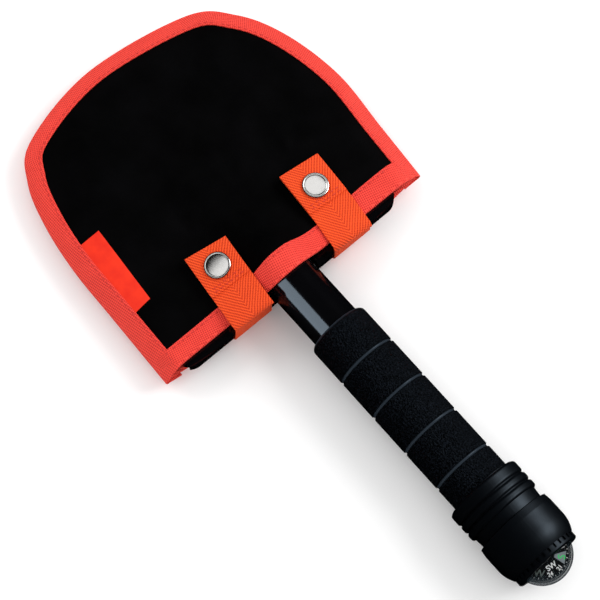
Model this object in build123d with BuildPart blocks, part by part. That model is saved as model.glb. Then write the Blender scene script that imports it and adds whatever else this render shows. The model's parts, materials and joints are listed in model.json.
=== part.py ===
"""Camp shovel: steel blade in a sewn cover, tubular handle, ribbed collar, screw cap with a compass.

Frame: +X runs along the handle towards the compass, +Z is up, and the shovel lies on the flat
back of its cover. The origin is the centre of that flat back, straight below the handle's axis.
All sizes are in millimetres.
"""

import os

from build123d import *

os.makedirs("parts", exist_ok=True)

# ---------------------------------------------------------------- driving dimensions

SHOULDER = 75.0          # x of the blade's shoulder edge, where the handle comes out
AXIS_Z = 22.3            # height of the handle's axis, the radius of the cap it rests on
STEEL = 2.0              # thickness of the blade

# Blade
BLADE_HALF = 75.0        # half width at the shoulder
BLADE_LENGTH = 152.0     # shoulder to tip
BLADE_UNDER = 2.4        # lowest point of the dish
BELLY_X = -5.0           # x of the lowest point of the dish
DISH_ALONG = 300.0       # radius of the dish along the blade
DISH_ACROSS = 600.0      # radius of the dish across the blade
STEP_TOP = 19.5          # top of the turned foot step
STEP_WIDTH = 10.0
STEP_DROP = 7.0          # height of the turned lip
STEP_BEND = 3.0          # radius of the bend between step and lip
BLADE_CORNER = 9.0       # radius of the shoulder's ends

# Handle, as distances from the shoulder edge
TUBE_RADIUS = 14.2
TUBE_BORE = 12.6
TUBE_TOP_END = -16.0     # the tube is cut off at a slant where it is welded in the dish
TUBE_LOW_END = -46.0
PLUG_START = 16.0
GRIP_START = 33.5
GRIP_RADIUS = 17.5
GROOVES = [57.7 + 24.85 * n for n in range(4)]
GROOVE_RADIUS = 1.35
COLLAR_START = 147.0
COLLAR_RIBS = [(147.2, 154.3), (154.7, 159.4), (159.8, 164.5)]
COLLAR_RADIUS = 21.75
NECK_RADIUS = 19.9
CAP_START = 170.8
THREAD_END = 180.5
THREAD_RADIUS = 17.0
CAP_WEB = 181.0          # inner end of the cap's threaded bore
CAP_FULL = 184.0         # end of the cap's widest stretch
CAP_RADIUS = 22.3
CAP_END = 193.6
CAP_END_RADIUS = 19.6
BEZEL_END = 197.7
BEZEL_RADIUS = 19.2
BEZEL_NOTCHES = 32
BALL_CENTRE = 192.3
BALL_RADIUS = 16.2
BALL_WALL = 1.3
CARD_RADIUS = 13.9

# Cover
MOUTH = -4.5             # the cover's mouth, from the shoulder edge
CLOTH = 1.2
SEAM = 6.0               # width of the sewn edge
RIM_TOP = 15.0
TAPE = 0.8
TAPE_WIDTH = 12.0
FLAT_HALF = 45.0         # half width of the flat back
FLANK_RADIUS = 150.0     # curve of the back on each side of the flat
TIP = -169.0

# Straps and snaps
STRAP_WIDTH = 25.0
WEBBING = 1.6
HINGE_X = 1.3            # the straps fold this far outside the shoulder edge
TAIL_GAP = 1.5           # from the fold line to the tail below it
TAIL_TURN = 12.0         # below this height the tail leans in under the blade
TAIL_INSIDE = 5.0        # how far the tail reaches in from the mouth
SNAP_RADIUS = 7.5
SNAP_CAP_HEIGHT = 2.0
SOCKET_RADIUS = 5.5
STUD_RADIUS = 5.0
STUD_NECK = 2.6
POST_RADIUS = 1.2
POST_HEAD = 4.5
LABEL = (48.0, 13.5, 0.8)


def at(distance):
    """x of a place given by its distance from the shoulder edge."""
    return SHOULDER + distance


def axis_plane(distance):
    """A plane square to the handle, looking towards the compass."""
    return Plane(origin=(at(distance), 0, AXIS_Z), x_dir=(0, 1, 0), z_dir=(1, 0, 0))


def write(part, name):
    part.label = name
    export_step(part, f"parts/{name}.step")


SIDE = Plane.XZ
HANDLE = Axis((0, 0, AXIS_Z), (1, 0, 0))


def turned(points):
    """Profile points (distance, radius) on the side plane, for turning about the handle's axis."""
    return [(at(distance), AXIS_Z + radius) for distance, radius in points]


# ---------------------------------------------------------------- blade

dish_axis = Axis((BELLY_X, 0, BLADE_UNDER + DISH_ALONG), (0, 1, 0))
dish_plane = Plane(origin=(BELLY_X, 0, BLADE_UNDER), x_dir=(0, 1, 0), z_dir=(1, 0, 0))
DISH_RISE = 100.0 ** 2 / (2 * DISH_ACROSS)

with BuildPart() as blade:
    with BuildSketch(dish_plane):
        with BuildLine():
            low = ThreePointArc((-100, DISH_RISE), (0, 0), (100, DISH_RISE))
            high = ThreePointArc((-100, DISH_RISE + STEEL), (0, STEEL), (100, DISH_RISE + STEEL))
            Line(low @ 0, high @ 0)
            Line(low @ 1, high @ 1)
        make_face()
    revolve(axis=dish_axis)
    # The step: a flat strip along the shoulder with its outer edge turned down.
    with BuildSketch(SIDE):
        with BuildLine():
            FilletPolyline(
                (at(-STEP_WIDTH), STEP_TOP), (at(0), STEP_TOP), (at(0), STEP_TOP - STEP_DROP),
                radius=STEP_BEND,
            )
            offset(amount=STEEL, side=Side.RIGHT, kind=Kind.ARC)
        make_face()
    extrude(amount=BLADE_HALF, both=True)
    # The pressed trough that carries the tube.
    with BuildSketch(axis_plane(0)):
        Circle(TUBE_RADIUS + STEEL)
    extrude(amount=TUBE_LOW_END)
    with BuildSketch(axis_plane(1)):
        Circle(TUBE_RADIUS + 0.02)
    extrude(amount=-80, mode=Mode.SUBTRACT)
    # The trough is cut away level with the step, then at a slant that follows the tube's end.
    with BuildSketch(SIDE):
        with BuildLine():
            Polyline(
                (at(-200), 60), (at(-200), 30), (at(-70), 30), (at(-60), 4.5), (at(-40), 7.0),
                (at(-12), STEP_TOP - 4), (at(5), STEP_TOP - 4), (at(5), 60), close=True,
            )
        make_face()
    extrude(amount=TUBE_RADIUS + STEEL + 0.5, both=True, mode=Mode.SUBTRACT)
    # The outline: straight shoulders with rounded ends, sides that draw in to a blunt point.
    with BuildSketch(Plane.XY):
        with BuildLine():
            side = Spline(
                (at(-BLADE_CORNER), BLADE_HALF), (at(-60), 72.5), (at(-110), 58.0), (at(-141), 30.0),
                (at(-BLADE_LENGTH), 0), tangents=[(-1, 0), (0, -1)],
            )
            corner = RadiusArc((at(0), BLADE_HALF - BLADE_CORNER), side @ 0, -BLADE_CORNER)
            Line(corner @ 0, (at(0), 0))
            mirror(about=Plane.XZ)
        make_face()
    extrude(amount=60, mode=Mode.INTERSECT)

# ---------------------------------------------------------------- handle

with BuildPart() as shaft_tube:
    with BuildSketch(axis_plane(TUBE_LOW_END)):
        Circle(TUBE_RADIUS)
        Circle(TUBE_BORE, mode=Mode.SUBTRACT)
    extrude(amount=THREAD_END - TUBE_LOW_END)
    with BuildSketch(SIDE):
        with BuildLine():
            Polyline(
                (at(TUBE_LOW_END) - 5, AXIS_Z - TUBE_RADIUS), (at(TUBE_LOW_END), AXIS_Z - TUBE_RADIUS),
                (at(TUBE_TOP_END), AXIS_Z + TUBE_RADIUS), (at(TUBE_TOP_END), AXIS_Z + 20),
                (at(TUBE_LOW_END) - 5, AXIS_Z + 20), close=True,
            )
        make_face()
    extrude(amount=TUBE_RADIUS + 1, both=True, mode=Mode.SUBTRACT)

with BuildPart() as storage_plug:
    with BuildSketch(SIDE):
        with BuildLine():
            Polyline(
                turned([(PLUG_START, 0), (PLUG_START, 11), (PLUG_START + 1, TUBE_BORE),
                        (PLUG_START + 8, TUBE_BORE), (PLUG_START + 8, 9), (PLUG_START + 2, 9),
                        (PLUG_START + 2, 0)]),
                close=True,
            )
        make_face()
    revolve(axis=HANDLE)

with BuildPart() as grip:
    with BuildSketch(SIDE):
        with Locations((at(GRIP_START), AXIS_Z + TUBE_RADIUS)):
            Rectangle(COLLAR_START - GRIP_START, GRIP_RADIUS - TUBE_RADIUS, align=Align.MIN)
        fillet(vertices().group_by(Axis.X)[0].sort_by(Axis.Y)[-1], radius=2.8)
        with Locations([(at(groove), AXIS_Z + GRIP_RADIUS + 0.55) for groove in GROOVES]):
            Circle(GROOVE_RADIUS, mode=Mode.SUBTRACT)
    revolve(axis=HANDLE)

with BuildPart() as thread_insert:
    with BuildSketch(SIDE):
        with BuildLine():
            Polyline(
                turned([(160, TUBE_RADIUS), (160, THREAD_RADIUS), (THREAD_END - 0.8, THREAD_RADIUS),
                        (THREAD_END, THREAD_RADIUS - 0.8), (THREAD_END, TUBE_RADIUS)]),
                close=True,
            )
        make_face()
    revolve(axis=HANDLE)

with BuildPart() as collar:
    with BuildSketch(SIDE):
        with BuildLine():
            Polyline(
                turned([(COLLAR_START, TUBE_RADIUS), (COLLAR_START, 20.3), (164.5, 20.3),
                        (164.5, NECK_RADIUS + 0.3), (CAP_START - 0.6, NECK_RADIUS - 0.3),
                        (CAP_START - 0.6, THREAD_RADIUS), (160, THREAD_RADIUS), (160, TUBE_RADIUS)]),
                close=True,
            )
        make_face()
        for start, end in COLLAR_RIBS:
            with Locations((at((start + end) / 2), AXIS_Z + COLLAR_RADIUS - 2)):
                RectangleRounded(end - start, 4, 1.6)
    revolve(axis=HANDLE)

# ---------------------------------------------------------------- cap

with BuildPart() as cap_gasket:
    with BuildSketch(SIDE):
        with Locations((at(CAP_START + 0.75), AXIS_Z + THREAD_RADIUS + 1.0)):
            RectangleRounded(1.4, 1.6, 0.6)
    revolve(axis=HANDLE)

with BuildPart() as pommel_cap:
    with BuildSketch(SIDE):
        with BuildLine():
            skirt = Polyline(
                turned([(CAP_END, 0), (CAP_WEB, 0), (CAP_WEB, THREAD_RADIUS + 0.25),
                        (CAP_START + 1.6, THREAD_RADIUS + 0.25), (CAP_START + 1.6, THREAD_RADIUS + 2.0),
                        (CAP_START, THREAD_RADIUS + 2.0), (CAP_START, CAP_RADIUS - 0.5)])
            )
            flare = Line(skirt @ 1, turned([(CAP_START + 4, CAP_RADIUS)])[0])
            barrel = Line(flare @ 1, turned([(CAP_FULL, CAP_RADIUS)])[0])
            crown = TangentArc(barrel @ 1, turned([(CAP_END, CAP_END_RADIUS)])[0], tangent=(1, 0))
            Line(crown @ 1, skirt @ 0)
        make_face()
    revolve(axis=HANDLE)
    with BuildSketch(SIDE):
        with BuildLine():
            ball_cut = CenterArc((at(BALL_CENTRE), AXIS_Z), BALL_RADIUS, 0, 180)
            Line(ball_cut @ 0, ball_cut @ 1)
        make_face()
    revolve(axis=HANDLE, mode=Mode.SUBTRACT)
    with BuildSketch(axis_plane(BALL_CENTRE)):
        Circle(BALL_RADIUS)
    extrude(amount=5, mode=Mode.SUBTRACT)

with BuildPart() as bezel_ring:
    with BuildSketch(SIDE):
        with BuildLine():
            Polyline(
                turned([(CAP_END, BALL_RADIUS), (CAP_END, BEZEL_RADIUS), (BEZEL_END - 0.7, BEZEL_RADIUS),
                        (BEZEL_END, BEZEL_RADIUS - 0.7), (BEZEL_END, 14.0), (CAP_END, 14.0)]),
                close=True,
            )
        make_face()
    revolve(axis=HANDLE)
    with BuildSketch(SIDE):
        with BuildLine():
            dome_cut = CenterArc((at(BALL_CENTRE), AXIS_Z), BALL_RADIUS, 0, 180)
            Line(dome_cut @ 0, dome_cut @ 1)
        make_face()
    revolve(axis=HANDLE, mode=Mode.SUBTRACT)
    with BuildSketch(axis_plane(CAP_END)):
        with PolarLocations(BEZEL_RADIUS, BEZEL_NOTCHES):
            Rectangle(2.2, 1.7)
    extrude(amount=2.4, mode=Mode.SUBTRACT)

SPLIT = 0.3              # half the thickness of the seal between the ball's halves

with BuildPart() as compass_dome:
    with BuildSketch(SIDE):
        with BuildLine():
            outer = CenterArc((at(BALL_CENTRE), AXIS_Z), BALL_RADIUS, 0, 90)
            inner = CenterArc((at(BALL_CENTRE), AXIS_Z), BALL_RADIUS - BALL_WALL, 0, 90)
            Line(outer @ 0, inner @ 0)
            Line(outer @ 1, inner @ 1)
        make_face()
        with Locations((at(BALL_CENTRE), AXIS_Z)):
            Rectangle(SPLIT, 20, align=(Align.MIN, Align.MIN), mode=Mode.SUBTRACT)
    revolve(axis=HANDLE)

with BuildPart() as compass_capsule:
    with BuildSketch(SIDE):
        with BuildLine():
            back_outer = CenterArc((at(BALL_CENTRE), AXIS_Z), BALL_RADIUS, 90, 90)
            back_inner = CenterArc((at(BALL_CENTRE), AXIS_Z), BALL_RADIUS - BALL_WALL, 90, 90)
            Line(back_outer @ 0, back_inner @ 0)
            Line(back_outer @ 1, back_inner @ 1)
        make_face()
        with Locations((at(BALL_CENTRE), AXIS_Z)):
            Rectangle(SPLIT, 20, align=(Align.MAX, Align.MIN), mode=Mode.SUBTRACT)
    revolve(axis=HANDLE)

with BuildPart() as capsule_seal:
    with BuildSketch(axis_plane(BALL_CENTRE - SPLIT)):
        Circle(BALL_RADIUS - 0.1)
        Circle(BALL_RADIUS - BALL_WALL + 0.1, mode=Mode.SUBTRACT)
    extrude(amount=2 * SPLIT)

# The card floats level in the ball, so it turns about an upright axis.
ball = Plane(origin=(at(BALL_CENTRE), 0, AXIS_Z))

with BuildPart() as compass_card:
    with BuildSketch(ball):
        Circle(CARD_RADIUS)
    extrude(amount=0.8)
    chamfer(faces().sort_by(Axis.Z)[-1].edges(), length=0.35)

with BuildPart() as card_float:
    with BuildSketch(ball):
        Circle(7.5)
    extrude(amount=-3.5, taper=20)

with BuildPart() as card_magnet:
    with BuildSketch(ball.offset(-3.5)):
        Rectangle(3.0, 11.0)
    extrude(amount=-2.0)

# ---------------------------------------------------------------- cover

# The outline in plan, from the mouth down the left side, round the tip and up the right side.
# The loose cover is fuller on its right side.
OUTLINE = [
    (-4.5, -85.0), (-50, -83.6), (-85, -82.4), (-115, -78.0), (-140, -69.8), (-158, -53.5),
    (TIP, -4.0), (-160, 57.0), (-142, 79.0), (-115, 92.0), (-78, 98.2), (-40, 95.4), (-4.5, 92.6),
]
OUTLINE_STEPS = 24


def cover_plan(inset):
    """The cover's outline as a face, drawn in by inset along the sewn edge but not at the mouth."""
    with BuildLine(mode=Mode.PRIVATE) as outer:
        edge = Spline([(at(x), y) for x, y in OUTLINE], tangents=[(-1, 0.03), (1, -0.05)])
    inward = []
    for n in range(OUTLINE_STEPS + 1):
        place, heading = edge @ (n / OUTLINE_STEPS), edge % (n / OUTLINE_STEPS)
        inward.append((place.X + inset * heading.Y, place.Y - inset * heading.X))
    inward[0] = (at(MOUTH), inward[0][1])
    inward[-1] = (at(MOUTH), inward[-1][1])
    with BuildSketch(Plane.XY, mode=Mode.PRIVATE) as plan:
        with BuildLine():
            drawn = Spline(inward)
            Line(drawn @ 1, drawn @ 0)
        make_face()
    return plan.sketch


def band(plane, points, thickness):
    """A closed strip under a smooth line through points and the same line raised by thickness."""
    with BuildSketch(plane, mode=Mode.PRIVATE) as strip:
        with BuildLine():
            under = Spline(points)
            over = Spline([(y, z + thickness) for y, z in points])
            Line(under @ 0, over @ 0)
            Line(under @ 1, over @ 1)
        make_face()
    return strip.sketch


def across(distance):
    """A plane square to the handle with its own Y along Z, standing on the floor."""
    return Plane(origin=(at(distance), 0, 0), x_dir=(0, 1, 0), z_dir=(1, 0, 0))


whole_plan = cover_plan(0)
inner_plan = cover_plan(SEAM)

with BuildPart() as side_binding:
    with BuildSketch(Plane.XY):
        add(whole_plan)
        add(inner_plan, mode=Mode.SUBTRACT)
    extrude(amount=RIM_TOP)

# The front's underside at the mouth: an arch over the tube between flat stretches.
ARCH = [
    (0, 37.6), (7, 36.2), (12, 32.4), (17, 27.8), (22, 25.0), (30, 22.7), (40, 21.4), (55, 20.8),
    (68, 20.6),
]
LEFT_RIM = [(-87, 8.0), (-79.5, 13.0), (-75.8, 20.4)]
RIGHT_RIM = [(77.0, 20.4), (87.0, 13.0), (95, 8.0)]

# Distance from the shoulder edge, height of the arch, spread of each side, height of the base.
FRONT_STATIONS = [
    (-18, 16.9, 1.0, 1.03, 20.7),
    (-38, 8.0, 1.0, 1.04, 20.0),
    (-70, 3.0, 1.0, 1.06, 18.8),
    (-105, 0.8, 0.97, 1.03, 17.1),
    (-140, 0.3, 0.84, 0.86, 15.5),
    (TIP + 4, 0.1, 0.5, 0.5, 13.9),
]


def front_line(height, spread_left, spread_right, base):
    """Underside points at one station: the arch scaled to height over a base, and both rims."""
    low = ARCH[-1][1]
    top = ARCH[0][1]
    arch = [(y, base + (z - low) * height / (top - low)) for y, z in ARCH]
    left_rim = [(y * spread_left, min(z, base - 0.3)) for y, z in LEFT_RIM]
    right_rim = [(y * spread_right, min(z, base - 0.3)) for y, z in RIGHT_RIM]
    left_arch = [(-y * min(1, spread_left), z) for y, z in reversed(arch[1:])]
    right_arch = [(y * min(1, spread_right), z) for y, z in arch]
    return left_rim + left_arch + right_arch + right_rim


MOUTH_LINE = front_line(*FRONT_STATIONS[0][1:])

with BuildPart() as front_panel:
    for station, *shape in FRONT_STATIONS:
        add(band(across(station), front_line(*shape), CLOTH))
    loft()
    with BuildSketch(across(MOUTH)):
        add(band(Plane.XY, MOUTH_LINE, CLOTH))
    extrude(amount=FRONT_STATIONS[0][0] - MOUTH)
    with BuildSketch(Plane.XY):
        add(inner_plan)
    extrude(amount=60, mode=Mode.INTERSECT)

# Folded tape round both edges of the mouth: a strip on the cloth and a lip over its edge.
MOUTH_SIDES = (-78.5, 86.2)

with BuildPart() as front_mouth_binding:
    with BuildSketch(across(MOUTH)):
        add(band(Plane.XY, [(y, z + CLOTH) for y, z in MOUTH_LINE], TAPE))
    extrude(amount=-TAPE_WIDTH)
    with BuildSketch(across(MOUTH)):
        add(band(Plane.XY, MOUTH_LINE, CLOTH + TAPE))
    extrude(amount=TAPE)
    with BuildSketch(Plane.XY):
        with Locations((at(MOUTH) - TAPE_WIDTH - 1, MOUTH_SIDES[0])):
            Rectangle(TAPE_WIDTH + 3, MOUTH_SIDES[1] - MOUTH_SIDES[0], align=Align.MIN)
    extrude(amount=60, mode=Mode.INTERSECT)


def back_strip(low, high, left_angle, right_angle):
    """Section of a strip that follows the back, between two heights above its underside."""
    with BuildSketch(Plane.XY, mode=Mode.PRIVATE) as strip:
        with BuildLine():
            flat = Line((-FLAT_HALF, low), (FLAT_HALF, low))
            right = JernArc(flat @ 1, (1, 0), FLANK_RADIUS - low, right_angle)
            left = JernArc(flat @ 0, (-1, 0), FLANK_RADIUS - low, -left_angle)
            flat_top = Line((-FLAT_HALF, high), (FLAT_HALF, high))
            right_top = JernArc(flat_top @ 1, (1, 0), FLANK_RADIUS - high, right_angle)
            left_top = JernArc(flat_top @ 0, (-1, 0), FLANK_RADIUS - high, -left_angle)
            Line(right @ 1, right_top @ 1)
            Line(left @ 1, left_top @ 1)
        make_face()
    return strip.sketch


# The back: flat in the middle, curving up gently on both sides, the same all along.
with BuildPart() as back_panel:
    with BuildSketch(across(MOUTH)):
        add(back_strip(0, CLOTH, 20, 20))
    extrude(amount=TIP - MOUTH - 5)
    with BuildSketch(Plane.XY):
        add(inner_plan)
    extrude(amount=RIM_TOP, mode=Mode.INTERSECT)

with BuildPart() as back_mouth_binding:
    with BuildSketch(across(MOUTH)):
        add(back_strip(CLOTH, CLOTH + TAPE, 12.6, 15.6))
    extrude(amount=-TAPE_WIDTH)
    with BuildSketch(across(MOUTH)):
        add(back_strip(0, CLOTH + TAPE, 12.6, 15.6))
    extrude(amount=TAPE)

label_plane = Plane(origin=(at(-67), -67.6, 21.2), x_dir=(1, 0, 0.046), z_dir=(-0.046, 0, 1))

with BuildPart() as side_label:
    with BuildSketch(label_plane):
        RectangleRounded(LABEL[0], LABEL[1], 0.5)
    extrude(amount=LABEL[2])

# ---------------------------------------------------------------- straps and snaps


def strap_plane(fold, along, over):
    """A strap's underside: origin on the fold, X along the strap, Z away from the cloth."""
    normal = Vector(*over).cross(Vector(*along))
    return Plane(origin=(at(fold[0]), fold[1], fold[2]), x_dir=along, z_dir=tuple(normal))


# Fold centre, direction to the free end, direction across, length, snap place, tail's lowest z.
STRAPS = {
    "left": ((HINGE_X, -29.8, 29.9), (-45.9, 5.7, -4.5), (0, 0.97, 0.235), 47.3, 33.5, 2.15),
    "right": ((HINGE_X, 40.6, 24.7), (-49.6, 2.7, -0.7), (0, 1, -0.09), 49.6, 34.4, 2.6),
}

for side, (fold, along, over, length, snap_place, tail_low) in STRAPS.items():
    plane = strap_plane(fold, along, over)
    snap = Plane(origin=plane.from_local_coords((snap_place, 0, 0)), x_dir=plane.x_dir, z_dir=plane.z_dir)

    with BuildPart() as strap:
        with BuildSketch(plane):
            with Locations((0, -STRAP_WIDTH / 2)):
                Rectangle(length, STRAP_WIDTH, align=Align.MIN)
            with Locations((snap_place, 0)):
                Circle(POST_RADIUS, mode=Mode.SUBTRACT)
        extrude(amount=WEBBING)
        fold_edges = edges().filter_by(lambda e: abs(plane.to_local_coords(e @ 0.5).X) < 0.01)
        fillet(fold_edges.sort_by(SortBy.LENGTH)[-2:], radius=WEBBING / 2 - 0.01)
    write(strap.part, f"strap_{side}")

    # The tail's top edge stays clear of the hinge line and tilts with it.
    rise = STRAP_WIDTH / 2 * over[2] / over[1]
    top = plane.from_local_coords((0, 0, WEBBING / 2)).Z - TAIL_GAP
    side_on = Plane(origin=(0, fold[1] + STRAP_WIDTH / 2, 0), x_dir=(1, 0, 0), z_dir=(0, -1, 0))
    with BuildPart() as tail:
        with BuildSketch(across(HINGE_X - WEBBING / 2)):
            with BuildLine():
                Polyline(
                    (fold[1] - STRAP_WIDTH / 2, TAIL_TURN), (fold[1] + STRAP_WIDTH / 2, TAIL_TURN),
                    (fold[1] + STRAP_WIDTH / 2, top + rise), (fold[1] - STRAP_WIDTH / 2, top - rise),
                    close=True,
                )
            make_face()
        extrude(amount=WEBBING)
        # Below the step the tail leans in and lies on the back, inside the mouth.
        with BuildSketch(side_on):
            with BuildLine():
                Polyline(
                    (at(HINGE_X + WEBBING / 2), TAIL_TURN), (at(MOUTH), tail_low),
                    (at(MOUTH - TAIL_INSIDE), tail_low), (at(MOUTH - TAIL_INSIDE), tail_low + WEBBING),
                    (at(MOUTH - 0.7), tail_low + WEBBING), (at(HINGE_X - WEBBING / 2), TAIL_TURN),
                    close=True,
                )
            make_face()
        extrude(amount=STRAP_WIDTH)
    write(tail.part, f"strap_{side}_tail")

    with BuildPart() as snap_cap:
        with BuildSketch(snap.offset(WEBBING)):
            Circle(SNAP_RADIUS)
        extrude(amount=SNAP_CAP_HEIGHT)
        fillet(faces().sort_by(Axis.Z)[-1].edges(), radius=SNAP_CAP_HEIGHT - 0.3)
        with BuildSketch(snap):
            Circle(POST_RADIUS)
        extrude(amount=WEBBING)
    write(snap_cap.part, f"snap_cap_{side}")

    with BuildPart() as snap_socket:
        with BuildSketch(snap):
            Circle(SOCKET_RADIUS)
        extrude(amount=-1.5)
        with BuildSketch(snap.offset(-0.15)):
            Circle(STUD_NECK + 0.15)
        extrude(amount=-2.0, mode=Mode.SUBTRACT)
    write(snap_socket.part, f"snap_socket_{side}")

    with BuildPart() as snap_stud:
        with BuildSketch(snap.offset(-1.75)):
            Circle(STUD_RADIUS)
        extrude(amount=-0.6)
        with BuildSketch(snap.offset(-0.3)):
            Circle(STUD_NECK)
        extrude(amount=-1.6)
        with BuildSketch(snap.offset(-1.2)):
            Circle(POST_RADIUS)
        extrude(amount=-2.0, mode=Mode.SUBTRACT)
    write(snap_stud.part, f"snap_stud_{side}")

    with BuildPart() as snap_post:
        with BuildSketch(snap.offset(-1.2)):
            Circle(POST_RADIUS)
        extrude(amount=-2.8)
        with BuildSketch(snap.offset(-3.7)):
            Circle(POST_HEAD)
        extrude(amount=-0.6)
    write(snap_post.part, f"snap_post_{side}")

# ---------------------------------------------------------------- files

whole_pieces = {
    "blade": blade,
    "shaft_tube": shaft_tube,
    "storage_plug": storage_plug,
    "grip": grip,
    "thread_insert": thread_insert,
    "collar": collar,
    "cap_gasket": cap_gasket,
    "pommel_cap": pommel_cap,
    "bezel_ring": bezel_ring,
    "compass_dome": compass_dome,
    "compass_capsule": compass_capsule,
    "capsule_seal": capsule_seal,
    "compass_card": compass_card,
    "card_float": card_float,
    "card_magnet": card_magnet,
    "side_binding": side_binding,
    "front_panel": front_panel,
    "front_mouth_binding": front_mouth_binding,
    "back_panel": back_panel,
    "back_mouth_binding": back_mouth_binding,
    "side_label": side_label,
}
for name, piece in whole_pieces.items():
    write(piece.part, name)
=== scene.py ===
"""Camp shovel: the sewn cover, straps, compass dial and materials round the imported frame.

Everything is in metres in the frame's own axes: +X runs from the blade to the compass, +Z is up,
and the shovel lies on the flat back of its cover at z = 0. MM turns millimetres into metres.
"""

import json
import math

import bpy
import numpy as np
from mathutils import Matrix, Vector, noise

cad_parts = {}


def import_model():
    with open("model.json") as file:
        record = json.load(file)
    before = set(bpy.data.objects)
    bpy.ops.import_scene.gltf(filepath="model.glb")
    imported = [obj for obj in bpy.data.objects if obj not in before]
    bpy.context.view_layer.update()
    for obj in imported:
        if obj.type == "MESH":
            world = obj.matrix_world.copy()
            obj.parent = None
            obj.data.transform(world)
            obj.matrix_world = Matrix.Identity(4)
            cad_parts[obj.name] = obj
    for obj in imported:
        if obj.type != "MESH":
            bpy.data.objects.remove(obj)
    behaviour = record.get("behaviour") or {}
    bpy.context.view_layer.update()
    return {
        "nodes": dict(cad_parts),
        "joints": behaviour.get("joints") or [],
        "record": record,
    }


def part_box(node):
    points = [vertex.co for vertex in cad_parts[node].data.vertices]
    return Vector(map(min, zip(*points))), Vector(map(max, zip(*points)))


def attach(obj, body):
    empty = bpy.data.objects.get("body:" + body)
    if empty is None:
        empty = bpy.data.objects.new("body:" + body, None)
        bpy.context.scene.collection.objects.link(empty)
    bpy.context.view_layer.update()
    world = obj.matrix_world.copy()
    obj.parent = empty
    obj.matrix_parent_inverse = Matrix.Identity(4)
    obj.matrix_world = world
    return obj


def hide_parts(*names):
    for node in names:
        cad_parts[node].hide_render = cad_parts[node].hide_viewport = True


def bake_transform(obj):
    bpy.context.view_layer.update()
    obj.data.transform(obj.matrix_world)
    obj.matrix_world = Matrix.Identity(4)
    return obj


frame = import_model()
nodes = frame["nodes"]

# ---------------------------------------------------------------- sizes

MM = 0.001
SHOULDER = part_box("blade")[1].x
AXIS_Z = (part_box("shaft_tube")[0].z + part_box("shaft_tube")[1].z) / 2
GRIP_RADIUS = (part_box("grip")[1].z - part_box("grip")[0].z) / 2

CLOTH = 1.2 * MM
TAPE = 0.9 * MM
WEBBING = 0.8 * MM
STRAP_WIDTH = 25 * MM
FOLD = 3.0 * MM            # radius of a strap's bend over the shoulder edge
LAP = 0.7 * MM             # how far the single webbing lies below the doubled end's top
END_TURN = 0.6 * MM        # from where the doubled end starts to turn back to its tip
FLAT_HALF = 45 * MM        # half the width of the back's flat middle
FLANK_RADIUS = 150 * MM    # and the radius at which it curves up beyond that
SEAM_HALF = 0.8 * MM       # half the thickness of the sewn edge
ON_CLOTH = 0.15 * MM       # gap between a tape and the cloth under it
MOUTH = -4.5 * MM          # the cover's mouth, measured from the shoulder edge
BACK_MOUTH = -7 * MM       # the back's edge there, a little further in
TAPE_ON_FRONT = 9.6 * MM   # how far the edge tape reaches in from the fold
EDGE_RISE = 11 * MM        # how far in the front rises to its full height on the left
LOOSE_RISE = 7 * MM        # and how much further on the fuller right side
EDGE_CURL = 24 * MM        # how far in the back curls up towards the seam

# The cover's outline in plan, in mm from the shoulder edge and the middle: from the mouth down the
# left side, round the tip and up the right.
OUTLINE = [
    (-4.5, -85.0), (-50, -83.6), (-85, -82.4), (-115, -78.0), (-140, -69.8), (-158, -53.5),
    (-169, -4.0), (-160, 57.0), (-142, 79.0), (-115, 92.0), (-78, 98.2), (-40, 95.4), (-4.5, 92.6),
]


def at(distance):
    """x of a place given in metres from the shoulder edge, positive towards the compass."""
    return SHOULDER + distance


# ---------------------------------------------------------------- lines and meshes


def resample(line, count):
    """count points evenly spaced along a line of many points."""
    line = np.asarray(line, float)
    steps = np.linalg.norm(np.diff(line, axis=0), axis=1)
    run = np.concatenate([[0], np.cumsum(steps)])
    even = np.linspace(0, run[-1], count)
    return np.stack([np.interp(even, run, line[:, k]) for k in range(line.shape[1])], axis=1)


STEPS_TO_A_SPAN = 24


def smooth_line(points, count):
    """count points evenly spaced along a smooth line through points."""
    p = np.array(points, float)
    p = np.vstack([2 * p[0] - p[1], p, 2 * p[-1] - p[-2]])
    t = np.linspace(0, 1, STEPS_TO_A_SPAN, endpoint=False)[:, None]
    spans = []
    for a, b, c, d in zip(p, p[1:], p[2:], p[3:]):
        bend = (2 * a - 5 * b + 4 * c - d) * t**2 + (3 * b - a - 3 * c + d) * t**3
        spans.append(0.5 * (2 * b + (c - a) * t + bend))
    return resample(np.vstack(spans + [p[-2:-1]]), count)


def ease(x):
    """0 below 0, 1 above 1 and a smooth step between."""
    x = np.clip(x, 0, 1)
    return x * x * (3 - 2 * x)


def add_mesh(name, vertices, faces, uvs=None, smooth=True):
    """A mesh object in the scene; uvs holds one (u, v) in metres for each vertex."""
    mesh = bpy.data.meshes.new(name)
    mesh.from_pydata([tuple(v) for v in vertices], [], faces)
    mesh.validate()
    if uvs is not None:
        layer = mesh.uv_layers.new(name="weave")
        for loop in mesh.loops:
            layer.data[loop.index].uv = tuple(uvs[loop.vertex_index])
    mesh.shade_smooth() if smooth else mesh.shade_flat()
    obj = bpy.data.objects.new(name, mesh)
    bpy.context.scene.collection.objects.link(obj)
    return obj


def grid_faces(rows, columns, wrap=False):
    """Quads between neighbours of a grid; wrap joins its last column to its first."""
    faces = []
    for i in range(rows - 1):
        here, beyond = i * columns, (i + 1) * columns
        for j in range(columns if wrap else columns - 1):
            k = (j + 1) % columns
            faces.append((here + j, here + k, beyond + k, beyond + j))
    return faces


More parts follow.
